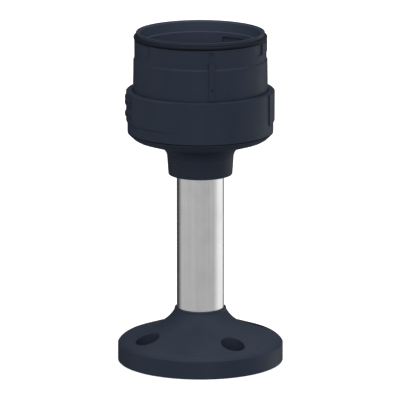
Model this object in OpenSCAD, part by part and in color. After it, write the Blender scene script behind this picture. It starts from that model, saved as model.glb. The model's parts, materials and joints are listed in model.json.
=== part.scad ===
// Pole-mount base of a modular signal light: screw-down foot, aluminium pole, and a
// head whose open terminal cup is held by a turning lock ring.
// Z is up, the foot's underside is Z = 0, and the front is -Y.
// Bearings round the axis are counted from the front, positive towards +X.

/* [Foot] */
// Radius of the foot
foot_r = 34.9; // [34.7:0.1:37]
// Height of the foot's upright rim
foot_rim_h = 7.55; // [7:0.05:9]
// Radius of the rounded shoulder above the rim
foot_shoulder_r = 6; // [4:0.5:8]
// Slope of the foot's top, in degrees
foot_slope = 19.3; // [18:0.1:22]
// Radius of the fillet that sweeps up to the collar
foot_fillet_r = 16.5; // [14:0.5:18]
// Diameter of the circle through the four fixing holes
foot_pcd = 52; // [50:0.5:53]
// Bearing of the first fixing hole
foot_hole_bearing = 31.5; // [0:0.5:60]
// Radius of a fixing hole
foot_hole_r = 2.75; // [2.2:0.05:3]
// Radius of the counterbore for a screw head
foot_sink_r = 5; // [4:0.1:5.2]

/* [Pole] */
// Outer radius of the pole
pole_r = 10; // [10:0.1:10.2]
// Wall of the pole
pole_wall = 1.5; // [1.2:0.1:1.5]
// Length of the pole
pole_len = 95; // [94:0.5:96]

/* [Neck] */
// Height of the neck's lower edge
neck_z = 80.2; // [79:0.1:82]
// Radius of the neck's lower end
neck_r = 13.5; // [13:0.1:13.6]
// Slope of the bowl's underside, in degrees
bowl_slope = 17.3; // [16:0.1:18]
// Radius of the bowl's rim
bowl_rim_r = 30.5; // [30:0.1:30.6]

/* [Lock ring] */
// Outer radius of the ring
ring_r = 30.6; // [30.4:0.1:31]
// Height of the ring's lower edge
ring_z = 98.7; // [98.6:0.1:98.9]
// Height of the ring's upper edge
ring_top = 116.4; // [115:0.1:117]
// Radius over the grip pads
pad_r = 31.15; // [31:0.05:31.5]
// How far the ring turns to unlock, in degrees
ring_turn = 30; // [24:1:30]

/* [Terminal housing] */
// Radius of the drum's lower end
drum_r = 28.4; // [28.2:0.05:28.45]
// Height of the step below the module spigot
step_z = 129.95; // [129:0.05:131]
// Radius of the module spigot
spigot_r = 27.65; // [27.4:0.05:27.8]
// Height of the cup's rim
top_z = 140.9; // [140.5:0.1:142]
// Bearing of the index rib
rib_bearing = 9.5; // [0:0.1:20]

/* [Contacts] */
// Distance between two terminals
pitch = 5.5; // [5.4:0.1:5.8]
// How far a contact pin can be pressed in
pin_travel = 1.5; // [1:0.1:1.5]

/* [Hidden] */
$fn = 96;
PINS = 6;

eps = 0.01;
fit = 0.05;      // clearance of a still fit
gap = 0.3;       // clearance round a moving piece

// foot
foot_shoulder = 58;    // slope at the shoulder's lower end
foot_edge = 0.3;
collar_r = 11.05;
collar_top = 22.7;
fillet_start_r = 20;
web_z = 3.5;
web_top = 6.5;
hub_r = 13.2;
pocket_r = 30.4;
skin = 3.3;
groove_in = 31.4;
groove_out = 33.9;
groove_h = 1.5;
slot_w = 6.4;
slot_l = 12;
grommet_wall = 0.7;
insert_top = 18.5;
insert_screw_x = 5.9;
m3_r = 1.5;
foot_seal_z = 17.4;
seal_wire_r = 0.98;

// neck and bowl
pole_top = web_top + pole_len;
neck_top_r = neck_r + 0.45;
neck_top_z = neck_z + 7.2;
flare_r = 5.3;
neck_edge_r = 0.5;
bowl_corner_r = 27.9;
bowl_rim_top = ring_z - gap;
bowl_wall_r = 27.4;
bowl_in_r = 25.4;
flange_r = 29.1;
flange_z = bowl_rim_top + 3.1;
flange_top = flange_z + 1.9;
neck_seal_z = 96.5;
neck_screw_z = 84.4;
neck_screw_bearings = [150, 210];

// lock ring
ring_bore_r = drum_r + gap;
ring_mouth_r = ring_bore_r - 0.15;
ring_in_r = flange_r + gap;
lug_count = 4;
lug_half = 9;
lug_bearing = 20;
lug_r = bowl_wall_r + gap;
stop_play = 0.7;
stop_r = 28.9;
pad_bearing = 90;
pad_half = 21.5;
soft_pad_bearing = 268;
soft_pad_half = 80;
soft_pad_shift = 0.75;
pad_z = 102.7;
pad_slant = 0.9;
bar_half = 24;
bar_z = [106.4, 111.2, 113.3];
bar_h = 0.8;
bar_proud = 0.5;

// terminal housing
gasket_h = 0.5;
housing_z = flange_top + gasket_h;
housing_flange_top = housing_z + 1.9;
cup_r = 24.5;
lip_in_r = 25.4;
lip_step_z = 136.4;
ledge_z = 119;
ledge_r = 22.9;
chamber_r = 25.4;
oring_z = 138.7;
oring_wire_r = 0.85;
oring_r = 27.1;
lip_r = 26.9;
spigot_lugs = [[84, 16], [180, 12], [300, 10]];    // bearing and half spread
lug_low = 133;
lug_proud = 0.25;
lug_pocket = [63.2, 4.5];
pocket_d = 0.4;
recess_bearings = [25, 145, 265];
rib_w = 2.3;
rib_top = 132.6;
key_bearings = [60, 240];
boss_bearings = [60, 180, 300];
boss_reach = 20.6;

// contacts
carrier_top = ledge_z + 3;
tower_top = carrier_top + 2.6;
block_z = 107.5;
block_x = 18;
block_y = 6.5;
ear_x = 22.2;
ear_h = 2.5;
block_screw_x = 20.2;
cage_w = 3.8;
cage_y = -5.2;
cage_l = 4;
cage_z = 108.9;
cage_h = 4.6;
strip_t = 0.6;
tongue_z = 112;
pad_seat_z = 116.2;
pin_r = 1.15;
pin_bore_r = 1.25;
flange_pin_r = 1.6;
chamber_pin_r = 1.75;
shoulder_z = carrier_top + 0.9;
pin_flange_h = 1;
spring_z = pad_seat_z + strip_t;
spring_top = shoulder_z - 0.1 - pin_flange_h;
spring_coil_r = 1.27;
spring_wire_r = 0.17;
spring_turns = 5;

function arc(c, r, a0, a1, n = 12) =
    [for (i = [0:n]) let (a = a0 + (a1 - a0) * i / n) c + r * [cos(a), sin(a)]];
function pin_x(i) = (i - (PINS + 1) / 2) * pitch;

// Turns its children from the front to a bearing.
module at_bearing(b) {
    rotate([0, 0, b - 90])
        children();
}

// A block of a ring: radii, heights and half its spread, centred on a bearing.
module sector(r0, r1, z0, z1, b, half) {
    at_bearing(b - half)
        rotate_extrude(angle = 2 * half)
            translate([r0, z0])
                square([r1 - r0, z1 - z0]);
}

module lathe(points) {
    rotate_extrude()
        polygon(points);
}

module tube(r0, r1, z0, z1) {
    difference() {
        translate([0, 0, z0])
            cylinder(r = r1, h = z1 - z0);
        translate([0, 0, z0 - 1])
            cylinder(r = r0, h = z1 - z0 + 2);
    }
}

module torus(r, wire, z) {
    translate([0, 0, z])
        rotate_extrude()
            translate([r, 0])
                circle(r = wire, $fn = 32);
}

// A pan-head screw with a cross recess: head down, top of its head face at Z = 0.
module pan_screw(head_r, head_h, shank_r, length) {
    recess = head_r * 0.55;
    difference() {
        union() {
            translate([0, 0, -head_h])
                cylinder(r = head_r, h = head_h);
            cylinder(r = shank_r, h = length);
        }
        for (a = [0, 90])
            rotate([0, 0, a])
                translate([-recess, -0.3, -head_h - 1])
                    cube([2 * recess, 0.6, 1 + head_h * 0.6]);
    }
}

module oblong(w, l, h) {
    translate([-w / 2, -(l - w) / 2, 0])
        cube([w, l - w, h]);
    for (s = [-1, 1])
        translate([0, s * (l - w) / 2, 0])
            cylinder(r = w / 2, h = h);
}

// ---- foot ----

shoulder = [foot_r, foot_rim_h] - foot_shoulder_r * [sin(foot_shoulder), cos(foot_shoulder)];
function cone_z(r) = let (s = foot_slope)
    shoulder.y + foot_shoulder_r * cos(s) + (shoulder.x + foot_shoulder_r * sin(s) - r) * tan(s);

module foot_outer() {
    s = foot_slope;
    c = [fillet_start_r, cone_z(fillet_start_r)] + foot_fillet_r * [sin(s), cos(s)];
    last = 180 + acos((c.x - collar_r) / foot_fillet_r);
    lathe(concat(
        [[0, 0], [foot_r - foot_edge, 0], [foot_r, foot_edge]],
        arc(shoulder, foot_shoulder_r, 90 - foot_shoulder, 90 - s, 6),
        arc(c, foot_fillet_r, 270 - s, last, 16),
        [[collar_r - 0.15, collar_top], [0, collar_top]]));
}

module foot_pocket() {
    difference() {
        lathe([[hub_r, -1], [pocket_r, -1], [pocket_r, cone_z(pocket_r) - skin],
               [fillet_start_r, cone_z(fillet_start_r) - skin], [hub_r, 14]]);
        for (k = [0:3]) {
            at_bearing(foot_hole_bearing + 90 * k)
                translate([foot_pcd / 2, 0, -2])
                    cylinder(r = foot_sink_r + 1.8, h = 30);
            for (b = [30, 60])
                at_bearing(foot_hole_bearing + 90 * k + b)
                    translate([hub_r - 1, -1, -2])
                        cube([pocket_r - hub_r + 2, 2, 30]);
        }
    }
}

module foot_flange() {
    color("#2a313b")
        difference() {
            foot_outer();
            foot_pocket();
            translate([0, 0, web_top])
                cylinder(r = pole_r + fit, h = 30);
            translate([0, 0, -1])
                cylinder(r = hub_r - 1.2, h = web_z + 1);
            translate([0, 0, web_z - 1])
                oblong(slot_w, slot_l, 5);
            for (s = [-1, 1])
                translate([s * insert_screw_x, 0, web_z - 1])
                    cylinder(r = m3_r + 0.15, h = 5);
            for (k = [0:3])
                at_bearing(foot_hole_bearing + 90 * k)
                    translate([foot_pcd / 2, 0, 0]) {
                        translate([0, 0, -1])
                            cylinder(r = foot_hole_r, h = 12);
                        translate([0, 0, 4.4])
                            cylinder(r = foot_sink_r, h = 12);
                    }
            tube(groove_in, groove_out, -1, groove_h);
            tube(pole_r, pole_r + 2, foot_seal_z - 1.1, foot_seal_z + 1.1);
        }
}

module foot_gasket() {
    color("#17191b")
        tube(groove_in + fit, groove_out - fit, 0, groove_h - fit);
}

module foot_seal() {
    color("#17191b")
        torus(pole_r + 1.01, seal_wire_r, foot_seal_z);
}

module pole_tube() {
    color("#b9bbbd")
        difference() {
            tube(pole_r - pole_wall, pole_r, web_top, pole_top);
            for (b = neck_screw_bearings)
                at_bearing(b)
                    translate([0, 0, neck_screw_z])
                        rotate([0, 90, 0])
                            cylinder(r = m3_r + fit, h = pole_r + 1);
        }
}

module tube_insert() {
    color("#a9a69a")
        difference() {
            translate([0, 0, web_top])
                cylinder(r = pole_r - pole_wall - fit, h = insert_top - web_top);
            translate([0, 0, web_top - 1])
                oblong(slot_w, slot_l, insert_top);
            for (s = [-1, 1])
                translate([s * insert_screw_x, 0, web_top - 1])
                    cylinder(r = m3_r + fit, h = insert_top);
        }
}

module foot_screws() {
    color("#c4c6c8")
        for (s = [-1, 1])
            translate([s * insert_screw_x, 0, web_z - 0.5])
                pan_screw(2.5, 1.8, m3_r, 13);
}

module foot_washers() {
    color("#c4c6c8")
        for (s = [-1, 1])
            translate([s * insert_screw_x, 0, 0])
                tube(m3_r + 0.1, 2.6, web_z - 0.5, web_z);
}

module cable_grommet() {
    color("#17191b")
        difference() {
            translate([0, 0, web_z - 0.4])
                oblong(slot_w - 2 * fit, slot_l - 2 * fit, 6);
            translate([0, 0, web_z - 1.4])
                oblong(slot_w - 2 * grommet_wall, slot_l - 2 * grommet_wall, 9);
        }
}

// ---- neck ----

module neck_profile() {
    s = bowl_slope;
    c = [neck_top_r + flare_r, neck_top_z];
    start = c + flare_r * [-sin(s), cos(s)];
    corner_z = start.y + (bowl_corner_r - start.x) * tan(s);
    socket_r = pole_r + fit;
    lathe(concat(
        [[socket_r, neck_z]],
        arc([neck_r - neck_edge_r, neck_z + neck_edge_r], neck_edge_r, 270, 360, 8),
        arc(c, flare_r, 180, 90 + s, 10),
        [[bowl_corner_r - 0.8, corner_z - 0.8 * tan(s)], [bowl_corner_r + 0.4, corner_z + 0.45],
         [bowl_rim_r, bowl_rim_top - 0.2], [bowl_rim_r - 0.2, bowl_rim_top],
         [bowl_wall_r, bowl_rim_top],
         [bowl_wall_r, flange_z], [flange_r, flange_z], [flange_r, flange_top],
         [bowl_in_r, flange_top], [bowl_in_r, corner_z + 2], [13, 92.9],
         [13, pole_top + 1.8], [7.5, pole_top + 1.8], [7.5, pole_top],
         [socket_r, pole_top]]));
}

module neck_adapter() {
    color("#2a313b")
        difference() {
            union() {
                neck_profile();
                // stops at both ends of each bayonet lug's travel
                for (k = [0:lug_count - 1])
                    let (b = lug_bearing + k * 360 / lug_count, reach = lug_half + stop_play) {
                        sector(bowl_wall_r - 1, stop_r, bowl_rim_top - 0.5, flange_z + 0.5,
                               b - reach - 1.5, 1.5);
                        sector(bowl_wall_r - 1, stop_r, bowl_rim_top - 0.5, flange_z + 0.5,
                               b + ring_turn + reach + 1.5, 1.5);
                    }
                // rib pairs that hold the housing's keys
                for (b = key_bearings, s = [-1, 1])
                    sector(23.6, bowl_in_r + 0.5, 97, flange_top, b + s * 7.2, 2);
            }
            // entries for the ring's bayonet lugs
            for (k = [0:lug_count - 1])
                sector(bowl_wall_r, flange_r + 1, flange_z, flange_top + 1,
                       lug_bearing + k * 360 / lug_count + ring_turn, lug_half + stop_play);
            for (b = neck_screw_bearings)
                at_bearing(b)
                    translate([0, 0, neck_screw_z])
                        rotate([0, 90, 0])
                            cylinder(r = m3_r + fit, h = 20);
            tube(pole_r, pole_r + 2, neck_seal_z - 1.1, neck_seal_z + 1.1);
        }
}

module neck_seal() {
    color("#17191b")
        torus(pole_r + 1.01, seal_wire_r, neck_seal_z);
}

module neck_screws() {
    color("#8f9295")
        for (b = neck_screw_bearings)
            at_bearing(b)
                translate([pole_r - pole_wall, 0, neck_screw_z])
                    rotate([0, 90, 0])
                        difference() {
                            cylinder(r = m3_r, h = 4.4);
                            translate([0, 0, 2.6])
                                cylinder(r = 0.87, h = 3, $fn = 6);
                        }
}

module joint_gasket() {
    color("#17191b")
        tube(bowl_in_r + 0.2, bowl_wall_r - 0.1, flange_top, housing_z);
}

// ---- lock ring ----

// A raised part of the ring's wall. Its own axis may stand off the ring's axis by a
// shift, so that its ends run out into the wall.
module grip_pad(b, half, shift) {
    r = pad_r - shift;
    at_bearing(b)
        translate([shift, 0, 0])
            rotate([0, 0, -half])
                rotate_extrude(angle = 2 * half)
                    polygon([[r - 1, pad_z], [r - 0.5, pad_z], [r, pad_z + pad_slant],
                             [r, ring_top - 0.5], [r - 0.4, ring_top - 0.1],
                             [r - 1, ring_top - 0.1]]);
}

module lock_ring() {
    color("#2a313b")
        union() {
            at_bearing(180)
                lathe(concat(
                    [[ring_in_r, ring_z], [ring_r - 0.15, ring_z], [ring_r, ring_z + 0.15]],
                    arc([ring_r - 0.4, ring_top - 0.4], 0.4, 0, 90, 6),
                    [[ring_mouth_r, ring_top], [ring_bore_r, housing_flange_top + gap],
                     [ring_in_r, housing_flange_top + gap]]));
            for (k = [0:lug_count - 1])
                sector(lug_r, ring_in_r + 0.5, flange_z - gap - 1.9, flange_z - gap,
                       lug_bearing + k * 360 / lug_count, lug_half);
            grip_pad(pad_bearing, pad_half, 0);
            grip_pad(soft_pad_bearing, soft_pad_half, soft_pad_shift);
            for (z = bar_z)
                sector(pad_r - 0.2, pad_r + bar_proud, z - bar_h / 2, z + bar_h / 2,
                       soft_pad_bearing, bar_half);
        }
}

// ---- terminal housing ----

module housing_profile() {
    groove = oring_wire_r + 0.05;
    lathe(concat(
        [[chamber_r, housing_z], [flange_r, housing_z], [flange_r, housing_flange_top],
         [drum_r, housing_flange_top], [drum_r - 0.35, step_z - 0.65], [spigot_r, step_z],
         [spigot_r, oring_z - groove], [oring_r - oring_wire_r, oring_z - groove],
         [oring_r - oring_wire_r, oring_z + groove], [lip_r, oring_z + groove]],
        arc([lip_r - 0.15, top_z - 0.15], 0.15, 0, 90, 3),
        [[lip_in_r + 0.6, top_z], [lip_in_r, top_z - 0.6], [lip_in_r - 0.4, lip_step_z],
         [cup_r, lip_step_z - 0.3], [cup_r, ledge_z], [ledge_r, ledge_z],
         [ledge_r, ledge_z - 1.6], [chamber_r, ledge_z - 3.6]]));
}

module terminal_housing() {
    color("#2a313b")
        difference() {
            union() {
                housing_profile();
                for (lug = spigot_lugs)
                    sector(spigot_r - 0.5, spigot_r + lug_proud, lug_low, oring_z - 1.3,
                           lug[0], lug[1]);
                at_bearing(rib_bearing)
                    translate([spigot_r - 1, -rib_w / 2, ring_top + gap])
                        cube([1.9, rib_w, rib_top - ring_top - gap]);
                for (b = boss_bearings)
                    at_bearing(b)
                        translate([boss_reach, 0, 109]) {
                            cylinder(r = 2.8, h = ledge_z - 109);
                            translate([0, -2, 0])
                                cube([5.2, 4, ledge_z - 109]);
                        }
                for (b = key_bearings)
                    sector(23.9, chamber_r + 0.6, housing_z - eps, housing_z + 4, b, 4.6);
                for (b = key_bearings)
                    sector(23.9, bowl_in_r - 0.2, housing_z - 4, housing_z + eps, b, 4.6);
            }
            for (b = boss_bearings)
                at_bearing(b)
                    translate([boss_reach, 0, 110.5])
                        cylinder(r = 1.3, h = 20);
            for (b = recess_bearings)
                sector(cup_r - 1, cup_r + 0.8, 128, 134.4, b, 12.5);
            sector(spigot_r - pocket_d, spigot_r + 1, lug_low, oring_z - 1.3,
                   lug_pocket[0], lug_pocket[1]);
            at_bearing(rib_bearing)
                translate([spigot_r - 0.4, -0.9, 135.5])
                    cube([2, 1.8, 1.4]);
            at_bearing(rib_bearing)
                translate([spigot_r + 0.5, 0, 121.1])
                    rotate([0, 90, 0])
                        cylinder(r = 0.6, h = 3);
        }
}

module rim_oring() {
    color("#17191b")
        torus(oring_r + 0.02, oring_wire_r, oring_z);
}

// ---- contacts and terminals ----

module contact_carrier() {
    color("#1f2226")
        difference() {
            union() {
                translate([0, 0, ledge_z])
                    cylinder(r = cup_r - 0.15, h = carrier_top - ledge_z);
                translate([-17.5, -4, carrier_top - eps])
                    cube([35, 8, tower_top - carrier_top + eps]);
                for (s = [-1, 1])
                    translate([s * 17.5, 0, carrier_top - eps])
                        cylinder(r = 4, h = tower_top - carrier_top + eps);
            }
            for (i = [1:PINS])
                translate([pin_x(i), 0, 0]) {
                    translate([0, 0, ledge_z - 1])
                        cylinder(r = chamber_pin_r, h = shoulder_z - ledge_z + 1);
                    translate([0, 0, ledge_z])
                        cylinder(r = pin_bore_r, h = 20);
                }
            for (b = boss_bearings)
                at_bearing(b)
                    translate([boss_reach, 0, ledge_z - 1]) {
                        cylinder(r = 1.4, h = 20);
                        translate([0, 0, 2.8])
                            cylinder(r = 2.6, h = 20);
                    }
            for (s = [-1, 1])
                translate([s * block_screw_x, 0, ledge_z - 1])
                    cylinder(r = 1.1 + fit, h = 3.2);
        }
}

module carrier_screws() {
    color("#c4c6c8")
        for (b = boss_bearings)
            at_bearing(b)
                translate([boss_reach, 0, ledge_z + 1.8])
                    rotate([180, 0, 0])
                        pan_screw(2.3, 1.5, 1.25, 8);
}

module terminal_block() {
    color("#3b4046")
        difference() {
            union() {
                translate([-block_x, -block_y, block_z])
                    cube([2 * block_x, 2 * block_y, ledge_z - block_z]);
                translate([-ear_x, -3, ledge_z - ear_h])
                    cube([2 * ear_x, 6, ear_h]);
            }
            for (s = [-1, 1])
                translate([s * block_screw_x, 0, ledge_z - ear_h - 1])
                    cylinder(r = 1.25, h = 5);
            for (i = [1:PINS])
                translate([pin_x(i), 0, 0]) {
                    // wire entry with the cage's pocket
                    translate([-cage_w / 2 - fit, -block_y - 1, cage_z - fit])
                        cube([cage_w + 2 * fit, 1 + block_y + cage_y + cage_l + fit,
                              cage_h + 2 * fit]);
                    // way to the clamping screw
                    translate([0, cage_y + cage_l / 2, block_z - 1])
                        cylinder(r = 1.7, h = 3);
                    // way of the contact strip
                    translate([-1.5, cage_y, tongue_z - fit])
                        cube([3, 7, strip_t + 2 * fit]);
                    translate([-1.5, 1.2 - fit, tongue_z - fit])
                        cube([3, strip_t + 2 * fit, ledge_z - tongue_z + 1]);
                    translate([-1.5, -1.8, pad_seat_z - fit])
                        cube([3, 3.2, ledge_z - pad_seat_z + 1]);
                }
        }
}

module block_screws() {
    color("#c4c6c8")
        for (s = [-1, 1])
            translate([s * block_screw_x, 0, ledge_z - ear_h])
                pan_screw(1.9, 1.3, 1.1, 4.4);
}

module clamp_cages() {
    color("#c4c6c8")
        for (i = [1:PINS])
            translate([pin_x(i) - cage_w / 2, cage_y, cage_z])
                difference() {
                    cube([cage_w, cage_l, cage_h]);
                    translate([0.5, -1, 1.4])
                        cube([cage_w - 1, cage_l + 2, cage_h - 2]);
                    translate([cage_w / 2, cage_l / 2, -1])
                        cylinder(r = 1.25 + fit, h = 3);
                }
}

module terminal_screws() {
    color("#c4c6c8")
        for (i = [1:PINS])
            translate([pin_x(i), cage_y + cage_l / 2, cage_z - 0.1])
                pan_screw(1.6, 1.2, 1.25, 2);
}

module contact_strips() {
    color("#c9a45a")
        for (i = [1:PINS])
            translate([pin_x(i) - 1.35, 0, 0]) {
                translate([0, cage_y + 0.3, tongue_z])
                    cube([2.7, 1.2 + strip_t - cage_y - 0.3, strip_t]);
                translate([0, 1.2, tongue_z])
                    cube([2.7, strip_t, spring_z - tongue_z]);
                translate([0, -1.7, pad_seat_z])
                    cube([2.7, 2.9 + strip_t, strip_t]);
            }
}

module contact_pin(i) {
    stem_r = 0.85;
    tip_z = tower_top + pin_travel + 0.3;
    color("#d2b46a")
        translate([pin_x(i), 0, 0])
            lathe(concat(
                [[0, spring_top - 2.6], [stem_r, spring_top - 2.6], [stem_r, spring_top],
                 [flange_pin_r, spring_top], [flange_pin_r, shoulder_z - 0.1],
                 [pin_r, shoulder_z - 0.1]],
                arc([pin_r - 0.9, tip_z - 0.9], 0.9, 0, 80, 5),
                [[0, tip_z]]));
}

function helix_ring(t, turns, r, wire, rise, sides) =
    let (a = 360 * turns * t, out = [cos(a), sin(a), 0], up = [0, 0, 1])
    [for (k = [0:sides - 1]) let (b = 360 * k / sides)
        (r + wire * cos(b)) * out + (wire + (rise - 2 * wire) * t + wire * sin(b)) * up];

module contact_spring(i) {
    steps = 12 * spring_turns;
    sides = 6;
    rings = [for (s = [0:steps])
        helix_ring(s / steps, spring_turns, spring_coil_r, spring_wire_r,
                   spring_top - spring_z, sides)];
    last = steps * sides;
    color("#b8babc")
        translate([pin_x(i), 0, spring_z])
            polyhedron(
                points = [for (ring = rings) each ring],
                faces = concat(
                    [[for (k = [0:sides - 1]) k]],
                    [for (s = [0:steps - 1], k = [0:sides - 1])
                        let (a = s * sides, n = (k + 1) % sides)
                        [a + k, a + sides + k, a + sides + n, a + n]],
                    [[for (k = [sides - 1:-1:0]) last + k]]));
}

foot_flange();
foot_gasket();
foot_seal();
pole_tube();
tube_insert();
foot_screws();
foot_washers();
cable_grommet();
neck_adapter();
neck_seal();
neck_screws();
joint_gasket();
lock_ring();
terminal_housing();
rim_oring();
contact_carrier();
carrier_screws();
terminal_block();
block_screws();
clamp_cages();
terminal_screws();
contact_strips();
for (i = [1:PINS])
    contact_pin(i);
for (i = [1:PINS])
    contact_spring(i);
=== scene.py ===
"""Looks of the pole-mount signal-light base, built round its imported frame."""

import json
import math

import bmesh
import bpy
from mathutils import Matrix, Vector


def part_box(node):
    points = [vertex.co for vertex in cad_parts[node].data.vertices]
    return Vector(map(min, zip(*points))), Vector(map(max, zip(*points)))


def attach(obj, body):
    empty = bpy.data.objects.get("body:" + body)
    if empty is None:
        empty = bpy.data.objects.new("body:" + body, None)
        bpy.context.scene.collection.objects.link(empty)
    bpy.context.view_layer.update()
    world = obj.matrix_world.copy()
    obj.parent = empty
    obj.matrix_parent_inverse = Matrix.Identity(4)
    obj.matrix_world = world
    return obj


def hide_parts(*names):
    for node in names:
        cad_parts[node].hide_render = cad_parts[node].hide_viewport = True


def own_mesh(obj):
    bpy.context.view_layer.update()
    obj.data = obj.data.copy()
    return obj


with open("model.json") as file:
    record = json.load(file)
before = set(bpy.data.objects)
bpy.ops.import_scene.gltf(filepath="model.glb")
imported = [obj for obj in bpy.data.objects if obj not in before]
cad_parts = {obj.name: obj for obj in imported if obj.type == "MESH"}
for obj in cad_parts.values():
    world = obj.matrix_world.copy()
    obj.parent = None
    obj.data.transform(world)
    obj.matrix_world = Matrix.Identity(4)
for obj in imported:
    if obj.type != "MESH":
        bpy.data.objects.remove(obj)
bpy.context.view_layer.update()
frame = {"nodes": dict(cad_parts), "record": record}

MM = 0.001
NODES = frame["nodes"]

# Camera: height and distance of the photograph's viewpoint, and its long lens
CAMERA_AT = (0, -1.9105, 0.4999)
CAMERA_AIM = (0, 0, 0.06888)
CAMERA_LENS = 419.4
CAMERA_SHIFT_X = -0.001

# Stage
FLOOR_HALF = 6.0
FLOOR_DROP = 0.0001
FLOOR_WHITE = (0.93, 0.93, 0.93)
FLOOR_GLOW = 0.70

# Studio light. Strength of the dim fill, and half the height of a soft box's soft edge
FILL = 0.06
RAMP = 0.14
# Each soft box: bearing of its middle from the front, half its width and its soft edge
# in degrees, lowest and highest sine of elevation, power
SOFT_BOXES = [
    (-16, 88, 25, -0.32, -0.08, 0.78),    # low band round the front
    (113, 17, 25, -0.30, -0.10, 1.66),    # strip on the right
    (-5, 18, 80, 0.20, 0.50, 1.20),       # front, above eye level
    (5, 30, 90, 0.50, 0.80, 0.80),        # front, high
    (120, 20, 60, 0.20, 0.80, 0.20),      # right, high
    (-60, 30, 40, -0.07, 0.18, 0.20),     # front left, at eye level
    (135, 20, 30, -0.60, -0.35, 0.30),    # low at the back right
    (0, 180, 1, 0.80, 2.0, 1.35),         # ceiling
    (0, 180, 1, -2.0, -0.62, 0.12),       # ground
]

# Contact springs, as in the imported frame
PINS = 6
SPRING_WIRE_R = 0.17 * MM
SPRING_TURNS = 5
SPRING_SIDES = 8
SPRING_STEPS = 24

# Turns that each end winds close, and their pitch in wire radii
END_TURN = 0.75
END_PITCH = 2.1

# The main plastic's colour, and a lighter colour painted on the cup's inner wall as painted
# light
NAVY = (0.0340, 0.0470, 0.0745)
NAVY_CUP_PAINTED_LIGHT = (0.062, 0.080, 0.124)

# Where the cup's inner wall is, which gets the painted light, and how that fades out toward its
# floor
CUP_R = 25.6 * MM
CUP_WALL_EDGE = 0.2 * MM
CUP_FLOOR_Z = 122 * MM
CUP_FADE = 12 * MM

# Noise scales of the patterns that materials share, in cycles per metre
FLOW_SCALE = 55
SMUDGE_SCALE = 140
CLOUD_SCALE = 90

# Edges made paler, partly as wear and partly as a painted edge highlight: samples of the
# rounded normal, and its cosine to the flat one where the paler edge starts and where it is
# full
BEVEL_SAMPLES = 4
WEAR_AND_HIGHLIGHT_STARTS = 0.98
WEAR_AND_HIGHLIGHT_FULL = 0.80

# Shades of a moulding's colour: its own mottling, and its paler edge, partly wear and partly a
# painted edge highlight, with what that edge adds
FLOW_DARK = 0.93
FLOW_PALE = 1.07
WORN_AND_HIGHLIGHT_PALE = 1.9
WORN_AND_HIGHLIGHT_ADDS = 0.004

# Shades of a metal's colour: how much brighter and how strong its edge is, partly wear and
# partly a painted edge highlight
EDGE_BRIGHT = 1.15
EDGE_SHARE = 0.25


# ---------------------------------------------------------------- node helpers

def add(tree, kind, props=None, **inputs):
    """A new shader node. Inputs are named with _ for a space; a socket links."""
    n = tree.nodes.new(kind)
    for key, value in (props or {}).items():
        setattr(n, key, value)
    for key, value in inputs.items():
        if key.startswith("in_"):
            socket = n.inputs[int(key[3:])]
        else:
            socket = n.inputs[key.replace("_", " ")]
        if isinstance(value, bpy.types.NodeSocket):
            tree.links.new(value, socket)
        else:
            socket.default_value = value
    return n


def rgba(colour):
    return (*colour, 1.0)


def new_tree(name):
    m = bpy.data.materials.new(name)
    m.use_nodes = True
    m.node_tree.nodes.clear()
    return m, m.node_tree


def noise(tree, where, scale, detail=3.0, roughness=0.55):
    return add(tree, "ShaderNodeTexNoise", Vector=where, Scale=scale, Detail=detail,
               Roughness=roughness).outputs[0]


def spread(tree, value, low, high, a, b):
    """value from low..high mapped to a..b, clamped."""
    return add(tree, "ShaderNodeMapRange", in_0=value, in_1=low, in_2=high, in_3=a,
               in_4=b).outputs[0]


def mix(tree, factor, a, b):
    """Colour a where factor is 0, b where it is 1."""
    n = add(tree, "ShaderNodeMix", {"data_type": "RGBA"})
    for socket, value in zip((n.inputs[0], n.inputs[6], n.inputs[7]), (factor, a, b)):
        if isinstance(value, bpy.types.NodeSocket):
            tree.links.new(value, socket)
        else:
            socket.default_value = value
    return n.outputs[2]


def maths(tree, operation, a, b):
    return add(tree, "ShaderNodeMath", {"operation": operation}, in_0=a, in_1=b).outputs[0]


def stretched(tree, where, stretch):
    """Coordinates scaled by stretch, so that a texture draws out along one axis."""
    return add(tree, "ShaderNodeMapping", in_0=where, in_3=stretch).outputs[0]


def edge_wear_and_highlight(tree, radius):
    """1 along sharp edges, 0 on faces, and the normal with its edges rounded."""
    rounded = add(tree, "ShaderNodeBevel", {"samples": BEVEL_SAMPLES}, Radius=radius).outputs[0]
    flat = add(tree, "ShaderNodeNewGeometry").outputs["Normal"]
    along = add(tree, "ShaderNodeVectorMath", {"operation": "DOT_PRODUCT"}, in_0=rounded,
                in_1=flat).outputs["Value"]
    return spread(tree, along, WEAR_AND_HIGHLIGHT_STARTS, WEAR_AND_HIGHLIGHT_FULL, 0.0, 1.0), rounded


def shine(tree, colour, roughness, normal, metal=0.0, specular=0.5):
    """The surface shader. What is the same all over is set on its own socket."""
    s = add(tree, "ShaderNodeBsdfPrincipled", Base_Color=colour, Roughness=roughness,
            Normal=normal)
    s.inputs["Metallic"].default_value = metal
    s.inputs["Specular IOR Level"].default_value = specular
    add(tree, "ShaderNodeOutputMaterial", Surface=s.outputs[0])


# ---------------------------------------------------------------- materials

def painted_cup_light(tree, where):
    """1 on the inner wall of the cup, fading out toward its floor: where light is painted into
    the plastic's colour.
    """
    flat = stretched(tree, where, (1, 1, 0))
    out = add(tree, "ShaderNodeVectorMath", {"operation": "LENGTH"}, in_0=flat)
    height = add(tree, "ShaderNodeSeparateXYZ", in_0=where).outputs["Z"]
    near = spread(tree, out.outputs["Value"], CUP_R, CUP_R + CUP_WALL_EDGE, 1.0, 0.0)
    return maths(tree, "MULTIPLY", near,
                 spread(tree, height, CUP_FLOOR_Z, CUP_FLOOR_Z + CUP_FADE, 0.0, 1.0))


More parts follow.
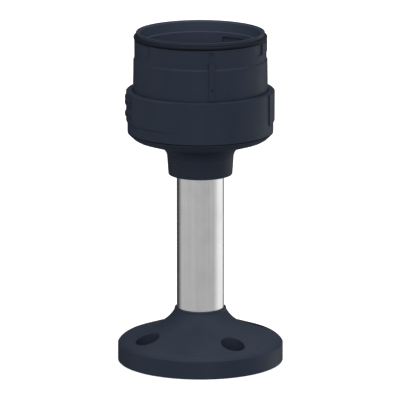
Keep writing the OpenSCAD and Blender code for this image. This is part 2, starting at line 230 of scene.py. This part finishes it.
def moulded(name, colour, rough=(0.36, 0.5), grain=1800, relief=8e-6, wear_and_highlight=0.35,
            specular=0.5, edge=0.00018, cup=None):
    """Injection-moulded plastic or rubber: fine die texture, slight flow mottling and
    a paler line along edges, partly where edges get handled and partly a painted edge
    highlight. cup is a lighter colour of painted light on the cup's inside."""
    m, t = new_tree(name)
    where = add(t, "ShaderNodeTexCoord").outputs["Object"]
    fine = noise(t, where, grain, 4.0)
    flow = noise(t, stretched(t, where, (1, 1, 0.35)), FLOW_SCALE, 3.0)
    smudge = noise(t, where, SMUDGE_SCALE, 5.0, 0.7)
    scuff_and_highlight, rounded = edge_wear_and_highlight(t, edge)
    dark = rgba([c * FLOW_DARK for c in colour])
    pale = rgba([c * FLOW_PALE for c in colour])
    worn_and_lit = rgba([c * WORN_AND_HIGHLIGHT_PALE + WORN_AND_HIGHLIGHT_ADDS for c in colour])
    body = mix(t, spread(t, flow, 0.35, 0.65, 0.0, 1.0), dark, pale)
    # Painted light: the cup's inner wall is given a lighter colour than the rest of the
    # moulding.
    if cup:
        body = mix(t, painted_cup_light(t, where), body, rgba(cup))
    # Painted edge highlight, with wear: edges are mixed toward a paler colour.
    patchy = maths(t, "MULTIPLY", scuff_and_highlight, spread(t, smudge, 0.35, 0.7, 0.15, 1.0))
    body = mix(t, maths(t, "MULTIPLY", patchy, wear_and_highlight), body, worn_and_lit)
    roughness = maths(t, "ADD", spread(t, smudge, 0.3, 0.7, *rough),
                      spread(t, fine, 0.3, 0.7, -0.02, 0.02))
    bump = add(t, "ShaderNodeBump", Strength=1.0, Distance=relief, Height=fine,
               Normal=rounded).outputs[0]
    shine(t, body, roughness, bump, specular=specular)
    return m


def metal(name, colour, rough=(0.22, 0.34), drawn=(1, 1, 0.02), grain=2600, relief=3e-6,
          tarnish=(0.7, 0.7, 0.72), tarnish_share=0.25, lines_share=0.12, edge=0.0001):
    """Bare or plated metal: fine lines drawn out along one axis, uneven polish and a
    little tarnish."""
    m, t = new_tree(name)
    where = add(t, "ShaderNodeTexCoord").outputs["Object"]
    lines = noise(t, stretched(t, where, drawn), grain, 3.0)
    cloud = noise(t, where, CLOUD_SCALE, 4.0, 0.65)
    scuff_and_highlight, rounded = edge_wear_and_highlight(t, edge)
    dull = rgba([c * k for c, k in zip(colour, tarnish)])
    body = mix(t, spread(t, cloud, 0.45, 0.75, 0.0, tarnish_share), rgba(colour), dull)
    body = mix(t, spread(t, lines, 0.3, 0.7, 0.0, lines_share), body, dull)
    # Painted edge highlight, with wear: edges are mixed toward a brighter colour.
    bright = rgba([min(1, c * EDGE_BRIGHT) for c in colour])
    body = mix(t, maths(t, "MULTIPLY", scuff_and_highlight, EDGE_SHARE), body, bright)
    roughness = maths(t, "ADD", spread(t, cloud, 0.3, 0.7, *rough),
                      spread(t, lines, 0.3, 0.7, -0.03, 0.03))
    bump = add(t, "ShaderNodeBump", Strength=1.0, Distance=relief, Height=lines,
               Normal=rounded).outputs[0]
    shine(t, body, roughness, bump, metal=1.0)
    return m


MATERIALS = {
    # navy_plastic's cup colour is painted light on the cup's inner wall.
    "navy_plastic": moulded("navy_plastic", NAVY, rough=(0.44, 0.54), relief=5e-6,
                            wear_and_highlight=0.12, specular=0.16, cup=NAVY_CUP_PAINTED_LIGHT),
    "aluminium_pole": metal("aluminium_pole", (0.71, 0.71, 0.715), rough=(0.20, 0.25),
                            drawn=(1, 1, 0.004), relief=8e-7, tarnish_share=0.06,
                            lines_share=0.06),
    "seal_rubber": moulded("seal_rubber", (0.010, 0.015, 0.025), rough=(0.42, 0.55),
                           grain=1200, wear_and_highlight=0.05, specular=0.16),
    "black_plastic": moulded("black_plastic", (0.016, 0.017, 0.019), rough=(0.38, 0.5)),
    "grey_plastic": moulded("grey_plastic", (0.33, 0.32, 0.30), rough=(0.45, 0.58),
                            wear_and_highlight=0.2),
    "zinc_steel": metal("zinc_steel", (0.62, 0.63, 0.64), rough=(0.26, 0.4),
                        drawn=(1, 1, 1)),
    "dark_steel": metal("dark_steel", (0.10, 0.10, 0.11), rough=(0.35, 0.5),
                        drawn=(1, 1, 1)),
    "cast_zinc": metal("cast_zinc", (0.5, 0.5, 0.49), rough=(0.42, 0.58),
                       drawn=(1, 1, 1), grain=1500, relief=1.2e-5),
    "contact_brass": metal("contact_brass", (0.72, 0.52, 0.23), rough=(0.24, 0.36),
                           drawn=(1, 1, 1), tarnish=(0.6, 0.5, 0.4)),
    "spring_steel": metal("spring_steel", (0.58, 0.58, 0.6), rough=(0.2, 0.3),
                          drawn=(1, 1, 1)),
}


def dress_nodes():
    """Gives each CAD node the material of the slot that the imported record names."""
    slots = {s["node"]: s["material_slot"] for s in frame["record"]["subparts"]}
    for name, obj in NODES.items():
        slot = slots[name]
        if not obj.material_slots:
            obj.data.materials.append(None)
        for s in obj.material_slots:
            s.material = MATERIALS[slot]


dress_nodes()


# ---------------------------------------------------------------- springs

def tube_along(bm, path, centre, radius):
    """A closed tube of that radius along a path that winds round centre."""
    rings = []
    for i, p in enumerate(path):
        ahead = path[min(i + 1, len(path) - 1)] - path[max(i - 1, 0)]
        t = ahead.normalized()
        out = Vector((p.x, p.y, 0)) - centre
        u = (out - t * out.dot(t)).normalized()
        v = t.cross(u)
        angles = (2 * math.pi * k / SPRING_SIDES for k in range(SPRING_SIDES))
        rings.append([bm.verts.new(p + radius * (math.cos(a) * u + math.sin(a) * v))
                      for a in angles])
    for a, b in zip(rings, rings[1:]):
        for k in range(SPRING_SIDES):
            n = (k + 1) % SPRING_SIDES
            bm.faces.new((a[k], a[n], b[n], b[k]))
    bm.faces.new(list(reversed(rings[0])))
    bm.faces.new(rings[-1])


def helix(low, high, wire):
    """Points of a compression spring that fills a box, its end turns close wound."""
    centre = (low + high) / 2
    coil = (high.x - low.x) / 2 - wire
    turns = SPRING_TURNS
    steps = turns * SPRING_STEPS
    free = high.z - low.z - 2 * wire - 2 * END_TURN * END_PITCH * wire
    points = []
    for i in range(steps + 1):
        turn = turns * i / steps
        lift = min(max(turn - END_TURN, 0), turns - 2 * END_TURN) / (turns - 2 * END_TURN)
        close = min(turn, END_TURN) + max(turn - turns + END_TURN, 0)
        z = low.z + wire + close * END_PITCH * wire + lift * free
        a = 2 * math.pi * turn
        points.append(Vector((centre.x + coil * math.cos(a),
                              centre.y + coil * math.sin(a), z)))
    return points


def make_spring(number):
    """The coil that stands for one contact spring."""
    node = f"contact_spring_{number}"
    name = f"spring_coil_{number}"
    low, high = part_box(node)
    centre = Vector(((low.x + high.x) / 2, (low.y + high.y) / 2, 0))
    bm = bmesh.new()
    tube_along(bm, helix(low, high, SPRING_WIRE_R), centre, SPRING_WIRE_R)
    bmesh.ops.recalc_face_normals(bm, faces=bm.faces)
    mesh = bpy.data.meshes.new(name)
    bm.to_mesh(mesh)
    bm.free()
    mesh.shade_smooth()
    coil = bpy.data.objects.new(name, mesh)
    bpy.context.scene.collection.objects.link(coil)
    mesh.materials.append(MATERIALS["spring_steel"])
    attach(coil, "base")
    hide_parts(node)
    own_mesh(coil)


for number in range(1, PINS + 1):
    make_spring(number)


# ---------------------------------------------------------------- stage

def make_floor():
    """A pale floor that glows a little. From below it is clear, to show the underside."""
    bm = bmesh.new()
    bmesh.ops.create_grid(bm, x_segments=1, y_segments=1, size=FLOOR_HALF)
    mesh = bpy.data.meshes.new("floor")
    bm.to_mesh(mesh)
    bm.free()
    floor = bpy.data.objects.new("floor", mesh)
    floor.location.z = -FLOOR_DROP
    bpy.context.scene.collection.objects.link(floor)
    m, t = new_tree("floor_white")
    paper = add(t, "ShaderNodeBsdfDiffuse", Color=rgba(FLOOR_WHITE))
    glow = add(t, "ShaderNodeEmission", Strength=FLOOR_GLOW)
    both = add(t, "ShaderNodeAddShader", in_0=paper.outputs[0], in_1=glow.outputs[0])
    below = add(t, "ShaderNodeNewGeometry").outputs["Backfacing"]
    clear = add(t, "ShaderNodeBsdfTransparent")
    seen = add(t, "ShaderNodeMixShader", in_0=below, in_1=both.outputs[0],
               in_2=clear.outputs[0])
    add(t, "ShaderNodeOutputMaterial", Surface=seen.outputs[0])
    mesh.materials.append(m)
    floor.visible_diffuse = False
    floor.visible_glossy = False
    floor.visible_shadow = False


def make_sky():
    """Studio light as a world: soft boxes and ceiling from SOFT_BOXES over a dim fill.
    The camera itself sees white."""
    world = bpy.data.worlds.new("studio")
    bpy.context.scene.world = world
    world.use_nodes = True
    t = world.node_tree
    t.nodes.clear()
    ray = add(t, "ShaderNodeTexCoord").outputs["Generated"]
    x, y, z = add(t, "ShaderNodeSeparateXYZ", in_0=ray).outputs
    bearing = add(t, "ShaderNodeMath", {"operation": "ARCTAN2"}, in_0=x,
                  in_1=maths(t, "MULTIPLY", y, -1.0)).outputs[0]
    total = FILL
    for centre, half, soft, low, high, power in SOFT_BOXES:
        turned = maths(t, "SUBTRACT", bearing, math.radians(centre))
        away = add(t, "ShaderNodeMath", {"operation": "WRAP"}, in_0=turned, in_1=math.pi,
                   in_2=-math.pi).outputs[0]
        away = maths(t, "ABSOLUTE", away, 0.0)
        across = spread(t, away, math.radians(half), math.radians(half + soft), 1.0, 0.0)
        over = spread(t, z, low - RAMP, low + RAMP, 0.0, 1.0)
        under = spread(t, z, high - RAMP, high + RAMP, 1.0, 0.0)
        patch = maths(t, "MULTIPLY", across, maths(t, "MULTIPLY", over, under))
        total = maths(t, "ADD", total, maths(t, "MULTIPLY", patch, power))
    glow = add(t, "ShaderNodeBackground", in_0=(1, 1, 1, 1), Strength=total)
    white = add(t, "ShaderNodeBackground", in_0=(1, 1, 1, 1), Strength=1.0)
    seen = add(t, "ShaderNodeLightPath").outputs["Is Camera Ray"]
    both = add(t, "ShaderNodeMixShader", in_0=seen, in_1=glow.outputs[0],
               in_2=white.outputs[0])
    add(t, "ShaderNodeOutputWorld", Surface=both.outputs[0])


def make_camera():
    data = bpy.data.cameras.new("camera")
    data.lens = CAMERA_LENS
    data.shift_x = CAMERA_SHIFT_X
    camera = bpy.data.objects.new("camera", data)
    camera.location = CAMERA_AT
    aim = Vector(CAMERA_AIM) - Vector(CAMERA_AT)
    camera.rotation_euler = aim.to_track_quat("-Z", "Y").to_euler()
    bpy.context.scene.collection.objects.link(camera)
    bpy.context.scene.camera = camera


make_floor()
make_sky()
make_camera()
bpy.context.scene.view_settings.view_transform = "Standard"
